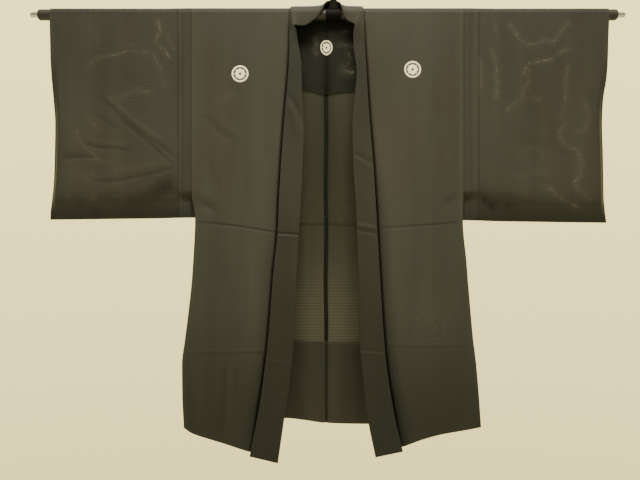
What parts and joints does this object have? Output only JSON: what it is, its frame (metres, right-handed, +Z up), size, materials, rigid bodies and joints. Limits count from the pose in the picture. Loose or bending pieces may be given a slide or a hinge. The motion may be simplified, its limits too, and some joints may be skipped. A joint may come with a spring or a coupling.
{
  "type": "haori jacket on a kimono hanger",
  "caption": "Unlined black gauze haori jacket hung open by its sleeves on a long rod hanger with a top hook, collar folded outwards.",
  "frame": {"origin": "the seat inside the hanger's hook, where the rail or peg that holds it touches", "axes": "+X along the hanger's rod from the sleeve on the viewer's left to the one on the right, +Y from the open front to the back, +Z up"},
  "size_m": [1.3651, 0.1048, 1.1341],
  "materials": {
    "silk_gauze": "soft sheen",
    "painted_tube": "semi-gloss",
    "plated_steel": "bright",
    "moulded_plastic": "satin"
  },
  "bodies": {
    "root": {"body_left": "silk_gauze", "body_right": "silk_gauze", "sleeve_left": "silk_gauze", "sleeve_right": "silk_gauze", "gusset_left": "silk_gauze", "gusset_right": "silk_gauze", "yoke": "silk_gauze", "collar": "silk_gauze", "rod": "painted_tube", "rod_end_left": "plated_steel", "rod_end_right": "plated_steel", "saddle": "moulded_plastic", "hook": "moulded_plastic"}
  },
  "joints": []
}
